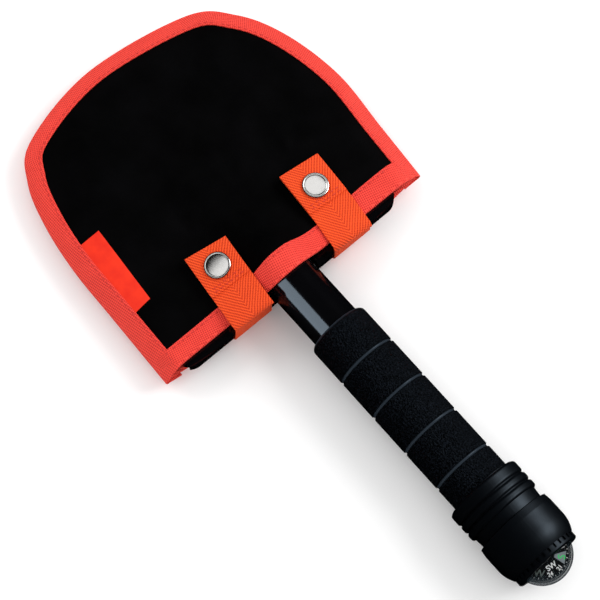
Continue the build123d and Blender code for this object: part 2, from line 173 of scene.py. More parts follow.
def inward_of(line):
    """Unit vectors that point into the cover, square to its outline."""
    turn = np.gradient(line, axis=0)
    turn /= np.linalg.norm(turn, axis=1)[:, None]
    return np.stack([turn[:, 1], -turn[:, 0]], axis=1)


def grid_uvs(points):
    """(along, across) in metres for a grid of points, measured over its surface."""
    down = np.linalg.norm(np.diff(points, axis=0), axis=2).mean(axis=1)
    over = np.linalg.norm(np.diff(points, axis=1), axis=2).mean(axis=0)
    along = np.concatenate([[0], np.cumsum(down)])
    across = np.concatenate([[0], np.cumsum(over)])
    across -= across[-1] / 2
    u, v = np.meshgrid(along, across, indexing="ij")
    return np.stack([u, v], axis=2).reshape(-1, 2)


SHARP = math.radians(50)   # the angle above which an edge of cloth is softened
SOFT_EDGE = 0.25 * MM


def cloth_piece(name, points, thickness, material, offset):
    """A sheet through a grid of points, thickened and with softened edges.

    offset is 1 or -1 to thicken it to one side of the grid, and 0 to both.
    """
    points = np.asarray(points, float)
    rows, columns, _ = points.shape
    obj = add_mesh(name, points.reshape(-1, 3), grid_faces(rows, columns), grid_uvs(points))
    solid = obj.modifiers.new("thickness", "SOLIDIFY")
    solid.thickness = thickness
    solid.offset = offset
    edge = obj.modifiers.new("soft_edge", "BEVEL")
    edge.width = SOFT_EDGE
    edge.segments = 2
    edge.limit_method = "ANGLE"
    edge.angle_limit = SHARP
    obj.data.materials.append(material)
    return obj


def lathe(name, profile, place, material, segments=64):
    """A turned piece: profile holds (radius, height) and place is its frame's 4x4 matrix."""
    turns = np.linspace(0, 2 * math.pi, segments, endpoint=False)
    points = [[(r * math.cos(a), r * math.sin(a), h) for a in turns] for r, h in profile]
    flat = [place @ Vector(p) for ring in points for p in ring]
    faces = grid_faces(len(profile), segments, wrap=True)
    faces.append(tuple(reversed(range(segments))))
    faces.append(tuple(range((len(profile) - 1) * segments, len(profile) * segments)))
    obj = add_mesh(name, flat, faces)
    obj.data.materials.append(material)
    return obj


STITCH = 2.3 * MM
STITCH_GAP = 0.9 * MM
THREAD = 0.28 * MM
THREAD_WIDENING = 1.25     # a stitch is pressed flatter than it is wide
THREAD_SIDES = 6
# Along a stitch: share of its length from the middle, size and lift, both in thread radii.
STITCH_SECTIONS = [
    (-0.5, 0.35, -0.55), (-0.38, 0.9, 0.1), (0, 1.0, 0.35), (0.38, 0.9, 0.1), (0.5, 0.35, -0.55),
]


def stitches(name, line, ups, material):
    """A row of thread stitches along a line of points, on the surface that ups point out of."""
    line, ups = np.asarray(line, float), np.asarray(ups, float)
    run = np.concatenate([[0], np.cumsum(np.linalg.norm(np.diff(line, axis=0), axis=1))])
    count = max(1, int(run[-1] / (STITCH + STITCH_GAP)))

    def along(values, distance):
        return np.array([np.interp(distance, run, values[:, k]) for k in range(3)])

    around = range(THREAD_SIDES)
    end = (len(STITCH_SECTIONS) - 1) * THREAD_SIDES
    one = grid_faces(len(STITCH_SECTIONS), THREAD_SIDES, wrap=True)
    one += [tuple(reversed(around)), tuple(end + k for k in around)]
    vertices, faces = [], []
    for n in range(count):
        middle = (n + 0.5) * run[-1] / count
        up = along(ups, middle)
        forward = along(line, middle + MM) - along(line, middle - MM)
        side = np.cross(forward / np.linalg.norm(forward), up)
        faces += [tuple(len(vertices) + k for k in face) for face in one]
        for share, size, lift in STITCH_SECTIONS:
            place = along(line, middle + share * STITCH)
            for k in around:
                a = k * 2 * math.pi / THREAD_SIDES
                offset = side * math.cos(a) * THREAD_WIDENING + up * (math.sin(a) + lift)
                vertices.append(place + offset * THREAD * size)
    obj = add_mesh(name, vertices, faces)
    obj.data.materials.append(material)
    return obj


# ---------------------------------------------------------------- materials


class Recipe:
    """A node material: values on the shader's own sockets, short calls for texture nodes."""

    def __init__(self, name, **values):
        self.material = bpy.data.materials.new(name)
        self.material.use_nodes = True
        self.tree = self.material.node_tree
        self.shader = self.tree.nodes["Principled BSDF"]
        for socket, value in values.items():
            self.shader.inputs[socket.replace("_", " ")].default_value = value

    def add(self, kind, inputs=None, **settings):
        """A node; an input is a value, or another node's output to link to it."""
        node = self.tree.nodes.new(kind)
        for key, value in settings.items():
            setattr(node, key, value)
        for key, value in (inputs or {}).items():
            if isinstance(value, bpy.types.NodeSocket):
                self.tree.links.new(value, node.inputs[key])
            else:
                node.inputs[key].default_value = value
        return node

    def math(self, operation, *values):
        return self.add("ShaderNodeMath", dict(enumerate(values)), operation=operation).outputs[0]

    def place(self):
        """Position in the piece's own axes, in metres."""
        return self.add("ShaderNodeTexCoord").outputs["Object"]

    def weighted(self, first, a, second, b):
        """a times first plus b times second."""
        return self.math("MULTIPLY_ADD", first, a, self.math("MULTIPLY", second, b))

    def wave(self, distance, pitch):
        """A sine from -1 to 1 that repeats every pitch metres of distance."""
        return self.math("SINE", self.math("MULTIPLY", distance, 2 * math.pi / pitch))

    def noise(self, scale, detail=2.0):
        inputs = {"Scale": scale, "Detail": detail, "Vector": self.place()}
        return self.add("ShaderNodeTexNoise", inputs).outputs[0]

    def ramp(self, value, stops):
        """A colour for value, from stops of (value, colour)."""
        node = self.add("ShaderNodeValToRGB", {0: value})
        while len(node.color_ramp.elements) < len(stops):
            node.color_ramp.elements.new(0.5)
        for element, (position, colour) in zip(node.color_ramp.elements, stops):
            element.position = position
            element.color = (*colour, 1.0)
        return node.outputs[0]

    def scaled(self, value, low, high):
        """value from 0..1 to low..high."""
        return self.add("ShaderNodeMapRange", {0: value, 3: low, 4: high}).outputs[0]

    def blend(self, share, first, second):
        """first where share is 0 and second where it is 1."""
        node = self.add("ShaderNodeMix", {0: share}, data_type="RGBA")
        for socket, value in ((node.inputs[6], first), (node.inputs[7], second)):
            if isinstance(value, bpy.types.NodeSocket):
                self.tree.links.new(value, socket)
            else:
                socket.default_value = value
        return node.outputs[2]

    def bump(self, height, strength, distance):
        inputs = {"Height": height, "Strength": strength, "Distance": distance}
        return self.add("ShaderNodeBump", inputs).outputs[0]

    def link(self, output, socket):
        self.tree.links.new(output, self.shader.inputs[socket])


COOL = (0.68, 0.84, 1.0)     # the bluish light on the black pieces


def gloss_paint():
    """Baked gloss black paint with a slight orange peel."""
    r = Recipe("gloss_black_paint", Base_Color=(0.0015, 0.0015, 0.002, 1), Specular_IOR_Level=0.35)
    r.link(r.scaled(r.noise(120), 0.08, 0.16), "Roughness")
    r.link(r.bump(r.noise(900, 3), 0.08, 0.0002), "Normal")
    return r.material


def pebbled_grip():
    """Matt black moulded grip with a fine pebbled skin, smooth and shiny in its grooves."""
    r = Recipe("pebbled_black_grip", Specular_IOR_Level=0.16)
    r.shader.inputs["Specular Tint"].default_value = (*COOL, 1)
    axes = r.add("ShaderNodeSeparateXYZ", {0: r.place()}).outputs
    drop = r.math("SUBTRACT", axes[2], AXIS_Z)
    squares = r.math("ADD", r.math("MULTIPLY", axes[1], axes[1]), r.math("MULTIPLY", drop, drop))
    radius = r.math("SQRT", squares)
    groove_edge = {0: radius, 1: GRIP_RADIUS - 0.7 * MM, 2: GRIP_RADIUS - 0.2 * MM}
    outer = r.add("ShaderNodeMapRange", groove_edge).outputs[0]
    cells = {"Scale": 1150.0, "Vector": r.place()}
    pebbles = r.add("ShaderNodeTexVoronoi", cells, feature="SMOOTH_F1")
    grain = r.math("ADD", pebbles.outputs[0], r.noise(900, 3))
    # Pale bluish specks scattered at random over the skin: painted glints on the pebbles.
    glint_specks = [(0.45, (0.0003, 0.0004, 0.0008)), (0.7, (0.0045, 0.0065, 0.011))]
    skin = r.ramp(r.noise(1300, 2), glint_specks)
    # In the grooves the colour turns a lighter blue-grey: a painted highlight on the groove walls.
    r.link(r.blend(outer, (0.020, 0.027, 0.036, 1), skin), "Base Color")
    r.link(r.blend(outer, (0.30, 0.30, 0.30, 1), r.scaled(grain, 0.42, 0.66)), "Roughness")
    r.link(r.bump(r.math("MULTIPLY", grain, outer), 1.0, 0.0012), "Normal")
    return r.material


def satin_plastic():
    """Moulded black plastic with a soft satin skin."""
    black = (0.0008, 0.0013, 0.0024, 1)
    r = Recipe("satin_black_plastic", Base_Color=black, Specular_IOR_Level=0.46)
    r.shader.inputs["Specular Tint"].default_value = (*COOL, 1)
    r.link(r.scaled(r.noise(260, 3), 0.38, 0.5), "Roughness")
    r.link(r.bump(r.noise(2400, 3), 0.12, 0.0002), "Normal")
    return r.material


def plain(name, colour, roughness, metallic=0.0, specular=0.5):
    """A plain even material with fine variation in its gloss."""
    r = Recipe(name, Base_Color=(*colour, 1), Metallic=metallic, Specular_IOR_Level=specular)
    r.link(r.scaled(r.noise(800, 2), roughness * 0.8, roughness * 1.25), "Roughness")
    r.link(r.bump(r.noise(1600, 2), 0.1, 0.0001), "Normal")
    return r.material


def nickel_plate():
    """Polished nickel plate with faint handling marks."""
    r = Recipe("polished_nickel", Base_Color=(0.83, 0.82, 0.80, 1), Metallic=1.0)
    r.link(r.scaled(r.noise(350, 4), 0.1, 0.24), "Roughness")
    r.link(r.bump(r.noise(220, 2), 0.02, 0.0002), "Normal")
    return r.material


def clear_plastic():
    """Clear plastic of the compass ball, turning an opaque slate grey round the card's level, where
    its wall is upright: painted shade for the dark edge that refraction shows there.
    """
    r = Recipe("clear_plastic", Base_Color=(0.022, 0.032, 0.038, 1), Specular_IOR_Level=0.2)
    height = r.add("ShaderNodeSeparateXYZ", {0: r.place()}).outputs[2]
    off_level = r.math("ABSOLUTE", r.math("SUBTRACT", height, AXIS_Z))
    # Near the card's level the plastic is made nearly opaque slate: painted shade in place of the
    # dome's refracted dark edge.
    dark = {0: off_level, 1: 3 * MM, 2: 9 * MM, 3: 0.85, 4: 0.04}
    r.link(r.add("ShaderNodeMapRange", dark).outputs[0], "Alpha")
    r.link(r.scaled(r.noise(60), 0.05, 0.1), "Roughness")
    return r.material


NYLON_PITCH = 0.7 * MM
RIBBON_PITCH = 0.5 * MM


def woven_nylon():
    """Near-black plain-weave nylon: crossed threads, and a faint slow change of shade."""
    r = Recipe("black_nylon", Specular_IOR_Level=0.04)
    axes = r.add("ShaderNodeSeparateXYZ", {0: r.place()}).outputs
    crossed = r.math("MULTIPLY", r.wave(axes[0], NYLON_PITCH), r.wave(axes[1], NYLON_PITCH))
    weave = r.math("MULTIPLY_ADD", crossed, 0.5, 0.5)
    shades = [(0.3, (0.0005, 0.0005, 0.0006)), (0.75, (0.0015, 0.0014, 0.0018))]
    r.link(r.ramp(r.noise(45, 4), shades), "Base Color")
    r.link(r.scaled(weave, 0.62, 0.8), "Roughness")
    r.link(r.bump(weave, 0.35, 0.00025), "Normal")
    return r.material


def herringbone(name, bright, dark, pitch, slant, band, cross=0.16, cross_pitch=0.62):
    """Woven tape: slanted ribs that turn back every band across it, crossed by threads.

    u runs along the tape and v across it, both in metres, with v = 0 on its centre line. slant is
    in degrees, cross the depth of the threads and cross_pitch their pitch as a share of the ribs'.
    """
    r = Recipe(
        name, Sheen_Weight=0.03, Sheen_Roughness=0.5, Specular_IOR_Level=0.25, Roughness=0.72)
    r.shader.inputs["Sheen Tint"].default_value = (*bright, 1)
    uv = r.add("ShaderNodeUVMap", uv_map="weave").outputs[0]
    u, v, _ = r.add("ShaderNodeSeparateXYZ", {0: uv}).outputs
    zigzag = r.math("PINGPONG", v, band)
    wobble = r.math("MULTIPLY", r.noise(500, 2), 0.25 * pitch)
    lean = math.radians(slant)
    over_ribs = r.weighted(u, math.sin(lean), zigzag, math.cos(lean))
    along_ribs = r.weighted(u, math.cos(lean), zigzag, -math.sin(lean))
    rib = r.wave(r.math("ADD", over_ribs, wobble), pitch)
    thread = r.wave(along_ribs, cross_pitch * pitch)
    level = r.math("ADD", r.weighted(rib, 0.52 - cross, thread, cross), 0.5)
    # The colour follows the weave's height: darker in the valleys between ribs and threads, which is
    # painted shade, with random tone from the noise on top.
    shade = r.weighted(level, 0.85, r.noise(90, 3), 0.25)
    r.link(r.ramp(shade, [(0.15, dark), (0.72, bright)]), "Base Color")
    r.link(r.bump(level, 0.9, 0.0006), "Normal")
    return r.material


def satin_ribbon():
    """Smooth red-orange ribbon with a hardly visible cross weave."""
    r = Recipe("red_ribbon", Specular_IOR_Level=0.25)
    across = r.add("ShaderNodeSeparateXYZ", {0: r.place()}).outputs[1]
    cross = r.wave(across, RIBBON_PITCH)
    reds = [(0.3, (0.66, 0.014, 0.002)), (0.7, (0.76, 0.024, 0.003))]
    r.link(r.ramp(r.noise(150, 3), reds), "Base Color")
    r.link(r.scaled(r.noise(400, 2), 0.42, 0.56), "Roughness")
    r.link(r.bump(cross, 0.15, 0.0001), "Normal")
    return r.material


PAINT = gloss_paint()
GRIP = pebbled_grip()
SATIN = satin_plastic()
RUBBER = plain("black_rubber", (0.02, 0.02, 0.021), 0.6)
NICKEL = nickel_plate()
BRASS = plain("brass", (0.6, 0.45, 0.2), 0.3, metallic=1.0)
STEEL = plain("plain_steel", (0.5, 0.5, 0.52), 0.3, metallic=1.0)
FLOAT = plain("float_plastic", (0.6, 0.6, 0.58), 0.5)
CARD = plain("card_black", (0.002, 0.002, 0.0025), 0.6, specular=0.08)
MARK = plain("card_white", (0.86, 0.88, 0.88), 0.5)
GREEN = plain("card_green", (0.04, 0.75, 0.18), 0.5)
# A dim grey copy of the white marks, used for E and W: painted shade for the shadow that falls over
# W, and E is dimmed the same.
SHADED_MARK = plain("card_grey", (0.10, 0.13, 0.12), 0.5)
PALE = plain("card_pale", (0.26, 0.30, 0.33), 0.5)
CLEAR = clear_plastic()
NYLON = woven_nylon()
CORAL = herringbone(
    "coral_twill", (0.93, 0.066, 0.045), (0.52, 0.018, 0.014), 1.2 * MM, 14, 30 * MM, cross=0.24,
    cross_pitch=0.95)
CORAL_THREAD = plain("coral_thread", (0.55, 0.022, 0.016), 0.6)
ORANGE = herringbone(
    "orange_herringbone", (0.92, 0.085, 0.012), (0.52, 0.025, 0.003), 1.45 * MM, 38, 12.6 * MM)
ORANGE_THREAD = plain("orange_thread", (0.60, 0.035, 0.008), 0.6)
LABEL_RED = satin_ribbon()

FINISHES = {
    "painted_steel": PAINT, "grip_rubber": GRIP, "satin_plastic": SATIN, "seal_rubber": RUBBER,
    "clear_dome": CLEAR, "card_face": CARD, "magnet_steel": STEEL, "float_plastic": FLOAT,
    "black_nylon": NYLON, "coral_binding": CORAL, "orange_webbing": ORANGE, "red_label": LABEL_RED,
    "nickel": NICKEL, "brass_post": BRASS,
}

for part in frame["record"]["subparts"]:
    for material_slot in nodes[part["node"]].material_slots:
        material_slot.material = FINISHES[part["material_slot"]]

nodes["compass_dome"].visible_shadow = False

# ---------------------------------------------------------------- cover: shape of the cloth

outline = smooth_line([(at(x * MM), y * MM) for x, y in OUTLINE], 400)


def edge_distance(x, y):
    """How far in from the sewn edge each point lies; the open mouth doesn't count."""
    flat = np.stack([np.ravel(x), np.ravel(y)], axis=1)
    gaps = np.linalg.norm(flat[:, None, :] - outline[None, :, :], axis=2)
    return gaps.min(axis=1).reshape(np.shape(x))


def back_height(y):
    """Flat in the middle, curving up on both flanks."""
    beyond = np.maximum(np.abs(y) - FLAT_HALF, 0)
    return FLANK_RADIUS - np.sqrt(FLANK_RADIUS**2 - beyond**2)


def arch(y):
    """How the front stands up over the tube: 1 above it, falling away on both sides."""
    return 1 / (1 + np.abs(y / (15.3 * MM)) ** 2.9)


# Distance from the shoulder edge, height of the front's level part, height of the arch above it.
FRONT_PROFILE = [
    (-175, 13.4, 0.0), (-140, 15.3, 0.3), (-105, 17.0, 0.9), (-70, 18.8, 3.0), (-38, 20.0, 8.0),
    (-18, 20.7, 16.6), (-4, 20.8, 17.0), (5, 20.8, 17.0),
]
FRONT = smooth_line(FRONT_PROFILE, 200) * MM

# Where the front is pulled, at both strap ends and the arch: x and y in mm, heading in radians.
PULLS = [(-52, -24, 3.5), (-54, 44, 2.75), (-60, 10, 3.1)]


def unevenness(x, y, per_x, per_y, layer):
    """Smooth noise over the plan, with about per_x and per_y bumps to the metre."""
    spots = zip(np.ravel(x), np.ravel(y))
    return np.reshape([noise.noise((a * per_x, b * per_y, layer)) for a, b in spots], np.shape(x))


def creases(x, y):
    """Soft folds in the front: rays from its pulls, and a slow and a fine unevenness."""
    fall = np.zeros(np.shape(x))
    for sx, sy, heading in PULLS:
        dx, dy = x - at(sx * MM), y - sy * MM
        away = np.hypot(dx, dy)
        angle = np.arctan2(dy, dx)
        rays = np.cos(7 * (angle - heading)) * np.exp(-(angle % (2 * math.pi) - heading) ** 2)
        fall += 0.8 * MM * rays * ease(away / (18 * MM)) * np.exp(-away / (45 * MM))
    slow = unevenness(x, y, 22, 22, 4.0)
    fine = unevenness(x, y, 60, 45, 9.0)
    return fall + 1.1 * MM * slow + 0.35 * MM * fine


def edge_height(y):
    """Height of the seam where front and back meet, level with the rim of the dished blade."""
    return 10.6 * MM + 0.1 * back_height(y)


def back_lift(x, inward):
    """Room for the folded tape under the sewn edge and the mouth."""
    near_mouth = 1 - ease((at(MOUTH) - x) / (22 * MM) - 0.4)
    near_edge = 1 - ease(inward / (16 * MM) - 0.3)
    return 1.1 * MM * np.maximum(near_mouth, near_edge)


def front_z(x, y, inward):
    """Height of the front's upper face."""
    level = np.interp(x - SHOULDER, FRONT[:, 0], FRONT[:, 1])
    rise = np.interp(x - SHOULDER, FRONT[:, 0], FRONT[:, 2])
    full = level + CLOTH + rise * arch(y)
    reach = EDGE_RISE + LOOSE_RISE * ease((y + 10 * MM) / (60 * MM))
    share = np.sin(math.pi / 2 * np.clip(inward / reach, 0, 1)) ** 0.9
    calm = ease((inward - 9 * MM) / (20 * MM)) * ease((at(-20 * MM) - x) / (30 * MM))
    seam = edge_height(y) + SEAM_HALF
    return seam + (full - seam) * share + calm * creases(x, y)


def back_z(x, y, inward):
    """Height of the back's lower face."""
    low = back_height(y) + back_lift(x, inward)
    curl = np.clip(1 - inward / EDGE_CURL, 0, 1) ** 2
    return low + (edge_height(y) - SEAM_HALF - low) * curl


SIDE_POINTS = 150          # how much of the outline counts as a side, and the rest as the tip


def plan_grid(inset, mouth, rows=70, columns=110):
    """A grid of plan points that fills the cover's outline, rows from the mouth to the tip."""
    edge = outline + inset * inward_of(outline)
    edge[:, 0] = np.minimum(edge[:, 0], at(mouth))
    left = resample(edge[:SIDE_POINTS], rows)
    right = resample(edge[-SIDE_POINTS:][::-1], rows)
    tip = resample(edge[SIDE_POINTS - 1:len(edge) - SIDE_POINTS + 1], columns)
    front = resample(np.array([left[0], right[0]]), columns)
    u = np.linspace(0, 1, columns)[None, :, None]
    v = np.linspace(0, 1, rows)[:, None, None]
    sides = (1 - u) * left[:, None] + u * right[:, None]
    ends = (1 - v) * front[None] + v * tip[None]
    corners = (1 - v) * ((1 - u) * left[0] + u * right[0]) + v * ((1 - u) * tip[0] + u * tip[-1])
    return sides + ends - corners


def panel(name, height, offset, mouth, node):
    """One of the cover's two cloths; height gives its outer face and offset its thick side."""
    plan = plan_grid(1.5 * MM, mouth)
    x, y = plan[..., 0], plan[..., 1]
    points = np.stack([x, y, height(x, y, edge_distance(x, y))], axis=2)
    obj = cloth_piece(name, points, CLOTH, NYLON, offset=offset)
    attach(obj, "cover")
    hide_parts(node)


panel("cover_front", front_z, -1.0, MOUTH - 1 * MM, "front_panel")
panel("cover_back", back_z, 1.0, BACK_MOUTH - 1 * MM, "back_panel")

# ---------------------------------------------------------------- cover: edge tape


FOLD_RISE = 1.36 * MM      # how far the folded tape stands above and below the seam


def side_tape():
    """Tape folded over the sewn edge, from one end of the mouth round the tip to the other."""
    line = resample(outline, 260)
    inward = inward_of(line)
    top = np.linspace(TAPE_ON_FRONT, 1.2 * MM, 9)
    fold = [(0.35 * MM, 1), (0.0, 0), (0.35 * MM, -1)]
    rows = []
    for d in top:
        place = line + inward * d
        z = front_z(place[:, 0], place[:, 1], np.full(len(place), d)) + ON_CLOTH
        rows.append(np.column_stack([place, z]))
    for d, level in fold:
        place = line + inward * d
        rows.append(np.column_stack([place, edge_height(place[:, 1]) + level * FOLD_RISE]))
    for d in top[::-1]:
        place = line + inward * d
        z = back_z(place[:, 0], place[:, 1], np.full(len(place), d)) - ON_CLOTH
        rows.append(np.column_stack([place, np.maximum(z, 0.05 * MM + TAPE)]))
    points = np.swapaxes(np.array(rows), 0, 1)
    obj = cloth_piece("edge_tape", points, TAPE, CORAL, offset=-1.0)
    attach(obj, "cover")
    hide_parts("side_binding")
    seam_inset = TAPE_ON_FRONT - 1.6 * MM
    seam = line + inward * seam_inset
    z = front_z(seam[:, 0], seam[:, 1], np.full(len(seam), seam_inset)) + ON_CLOTH + TAPE
    on_tape = np.column_stack([seam, z])
    up = np.column_stack([-inward * 0.45, np.ones(len(seam))])
    up /= np.linalg.norm(up, axis=1)[:, None]
    keep = slice(3, -3)
    row = stitches("edge_stitches", on_tape[keep], up[keep], CORAL_THREAD)
    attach(row, "cover")


side_tape()


def mouth_edge(y):
    """Distance of the mouth's edge from the shoulder edge: it bulges out over the tube."""
    return (-5.6 + 2.6 * arch(y)) * MM


def mouth_upper(y):
    """Distance of the upper edge of the tape on the mouth's front from the shoulder edge."""
    return (-15.8 - 2.2 * ease((y - 10 * MM) / (60 * MM))) * MM


def mouth_front_tape():
    """Tape folded over the front's edge at the mouth.

    Its profile holds the share of the way from the mouth's edge to the tape's upper edge, and a
    level: -1 is under the cloth, 0 its upper face, and 1 half a millimetre above that.
    """
    y = np.linspace(-82.5 * MM, 90 * MM, 150)
    inset = edge_distance(np.full(len(y), at(-12 * MM)), y)
    rows = []
    inside = [(0.85, -1.0), (0.4, -1.0), (0.06, -1.0), (0.0, -0.5), (0.0, 0.05), (0.06, 0.4)]
    outside = [(0.25, 0.45), (0.5, 0.45), (0.75, 0.45), (1.0, 0.4)]
    for share, level in inside + outside:
        x = at(mouth_edge(y) + share * (mouth_upper(y) - mouth_edge(y)))
        step = CLOTH + 0.25 * MM if level < 0 else 0.5 * MM
        rows.append(np.column_stack([x, y, front_z(x, y, inset) + level * step]))
    points = np.swapaxes(np.array(rows), 0, 1)
    obj = cloth_piece("mouth_tape_front", points, TAPE, CORAL, offset=-1.0)
    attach(obj, "cover")
    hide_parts("front_mouth_binding")
    x = at(mouth_upper(y) + 1.7 * MM)
    line = np.column_stack([x, y, front_z(x, y, inset) + 0.2 * MM + TAPE])
    up = np.tile([0.0, 0.0, 1.0], (len(y), 1))
    keep = slice(8, -8)
    row = stitches("mouth_stitches", line[keep], up[keep], CORAL_THREAD)
    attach(row, "cover")


mouth_front_tape()


def mouth_back_tape():
    """Tape folded over the back's edge at the mouth.

    Its profile holds the share of the tape's reach, and 1 inside the cover or 0 outside it.
    """
    y = np.linspace(-83.4 * MM, 91 * MM, 120)
    rows = []
    reach = 11 * MM
    inner = [(1, 1), (0.6, 1), (0.2, 1), (0.03, 1)]
    outer = [(share, 0) for share, _ in reversed(inner)]
    for share, inside in inner + [(-0.06, 0.5)] + outer:
        x = np.full(len(y), at(BACK_MOUTH - share * reach))
        lift = inside * (CLOTH + 0.3 * MM) - (1 - inside) * ON_CLOTH
        rows.append(np.column_stack([x, y, back_z(x, y, edge_distance(x, y)) + lift]))
    points = np.swapaxes(np.array(rows), 0, 1)
    obj = cloth_piece("mouth_tape_back", points, TAPE, CORAL, offset=1.0)
    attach(obj, "cover")
    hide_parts("back_mouth_binding")


mouth_back_tape()


# The label's long edges, in mm from the shoulder edge and the middle.
LABEL_INNER = [(-91.5, -59.9), (-43.5, -63.7)]
LABEL_OUTER = [(-91.2, -76.0), (-42.3, -76.5)]


def label():
    """Blank ribbon label sewn into the left edge tape, lying on the front."""
    along = np.linspace(0, 1, 40)
    over = np.linspace(0, 1, 14)
    inner, outer = np.array(LABEL_INNER) * MM, np.array(LABEL_OUTER) * MM
    a, b = np.meshgrid(along, over, indexing="ij")
    plan = (1 - b)[..., None] * (outer[0] + a[..., None] * (outer[1] - outer[0]))
    plan += b[..., None] * (inner[0] + a[..., None] * (inner[1] - inner[0]))
    x, y = at(plan[..., 0]), plan[..., 1]
    z = front_z(x, y, edge_distance(x, y)) + 0.1 * MM
    lift = 0.35 * MM * b * (1 + np.sin(5.5 * a + 0.6))
    points = np.stack([x, y, z + lift], axis=2)
    obj = cloth_piece("side_ribbon", points, 0.7 * MM, LABEL_RED, offset=-1.0)
    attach(obj, "cover")
    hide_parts("side_label")


label()

# ---------------------------------------------------------------- straps


def strap_frame(side):
    """A strap's own axes, its hinge, and how far along X its free end and its snap lie.

    The origin is on the fold, X runs to the free end, Y across and Z away from the cloth.
    """
    joint = next(j for j in frame["joints"] if j["name"] == f"{side}_strap_open")
    across = -Vector(joint["axis"]).normalized()
    cap_low, cap_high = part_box(f"snap_cap_{side}")
    hinge = Vector(joint["pos_m"])
    to_snap = (cap_low + cap_high) / 2 - hinge
    along = (to_snap - across * to_snap.dot(across)).normalized()
    up = along.cross(across).normalized()
    if up.z < 0:
        up, across = -up, -across
    axes = Matrix((along, across, up)).transposed().to_4x4()
    reach = max((Vector(v.co) - hinge).dot(along) for v in nodes[f"strap_{side}"].data.vertices)
    snap = to_snap.dot(along)
    return Matrix.Translation(hinge) @ axes, hinge, reach, snap


def flap_line(reach, double_from):
    """(x, z) in a strap's own axes: out under its doubled end, back on top and over the fold."""
    half = WEBBING / 2
    turn_at = reach - END_TURN
    single_from = double_from - 0.25 * MM
    fold_from = FOLD - 0.2 * MM
    line = []
    for share in np.linspace(0, 1, 12):
        line.append((double_from + share * (turn_at - double_from), -half))
    for turn in np.linspace(-80, 80, 7):
        a = math.radians(turn)
        line.append((reach - half + half * math.cos(a), half * math.sin(a)))
    for share in np.linspace(0, 1, 12):
        line.append((turn_at - share * (turn_at - double_from), half))
    for share in np.linspace(0, 1, 12):
        x = single_from - share * (double_from - fold_from)
        line.append((x, half - LAP + LAP * ease((share - 0.5) * 2)))
    for turn in np.linspace(8, 80, 8):
        a = math.radians(turn)
        line.append((FOLD - 0.5 * MM - FOLD * math.sin(a), half - FOLD * (1 - math.cos(a))))
    return line


def strap(side, double_from, skew, bend=0.0):
    """One webbing strap: up from inside the back, over the shoulder edge, and doubled at its end.

    double_from is where the doubled end starts, skew how much shorter its +Y edge is, and bend how
    far the webbing is pulled towards -Y at the fold.
    """
    place, hinge, reach, _ = strap_frame(side)
    spread = np.linspace(-STRAP_WIDTH / 2, STRAP_WIDTH / 2, 11)
    facing = math.copysign(1.0, place.col[1].y)
    rows = []
    for x, z in flap_line(reach, double_from):
        far = max(0.0, (x - double_from) / (reach - double_from))
        drift = facing * bend * ease(1 - x / (20 * MM))
        row = []
        for w in spread:
            back = far * skew * (0.5 - w / STRAP_WIDTH)
            row.append(place @ Vector((x - back, w - drift, z)))
        rows.append(row)
    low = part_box(f"strap_{side}_tail")[0].z + 1.0 * MM
    tail = smooth_line(
        [(at(0.9 * MM), 13.4 * MM), (at(0.2 * MM), 11.4 * MM), (at(-3.8 * MM), low + 2 * MM),
         (at(-6.8 * MM), low), (at(-9.8 * MM), low)], 22)
    last = rows[-1]
    middle = hinge.y - bend
    for share in np.linspace(0.08, 0.95, 10):
        row = []
        for w, top in zip(spread, last):
            y = top.y + share * (middle + facing * w - top.y)
            x = top.x + ease(share * 3) * (tail[0][0] - top.x)
            row.append(Vector((x, y, top.z + share * (tail[0][1] - top.z))))
        rows.append(row)
    for x, z in tail:
        rows.append([Vector((x, middle + facing * w, z)) for w in spread])
    points = np.array([[tuple(p) for p in row] for row in rows])
    obj = cloth_piece(f"webbing_{side}", points, WEBBING, ORANGE, offset=0.0)
    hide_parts(f"strap_{side}", f"strap_{side}_tail")
    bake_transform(obj)
    for number, distance in ((1, double_from + 1.3 * MM), (2, double_from + 3.4 * MM)):
        line = [place @ Vector((distance, w, WEBBING)) for w in spread[1:-1]]
        up = np.tile(list(place.col[2].xyz), (len(line), 1))
        name = f"strap_stitches_{side}_{number}"
        row = stitches(name, line, up, ORANGE_THREAD)
        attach(row, f"{side}_flap")


# The snap cap's half section, (radius, height) in mm; lathe closes both ends with a flat face.
SNAP_PROFILE = [
    (0.001, 0.0), (7.1, 0.0), (7.45, 0.35), (7.5, 0.75), (7.3, 1.15), (6.9, 1.35), (6.55, 1.3),
    (6.3, 1.2), (6.0, 1.28), (5.2, 1.36), (4.0, 1.42), (2.6, 1.46), (1.2, 1.48), (0.001, 1.485),
]


def snap_cap(side):
    """Pressed snap cap: a low dome inside a rolled rim."""
    place, _, _, snap = strap_frame(side)
    seat = place @ Matrix.Translation((snap, 0, WEBBING - 0.1 * MM))
    scaled = [(r * MM, h * MM) for r, h in SNAP_PROFILE]
    obj = lathe(f"snap_button_{side}", scaled, seat, NICKEL)
    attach(obj, f"{side}_flap")
    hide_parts(f"snap_cap_{side}")


strap("left", 21.0 * MM, 3.4 * MM)
strap("right", 23.5 * MM, 1.0 * MM, bend=1.2 * MM)
snap_cap("left")
snap_cap("right")

# ---------------------------------------------------------------- compass dial

CARD_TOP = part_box("compass_card")[1].z
CARD_MIDDLE = (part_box("compass_card")[0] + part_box("compass_card")[1]) / 2
SOUTH_AT = 40.0            # where south points now, in degrees from +X towards +Y
BOX_FACES = [(3, 2, 1, 0), (4, 5, 6, 7), (0, 1, 5, 4), (1, 2, 6, 5), (2, 3, 7, 6), (3, 0, 4, 7)]


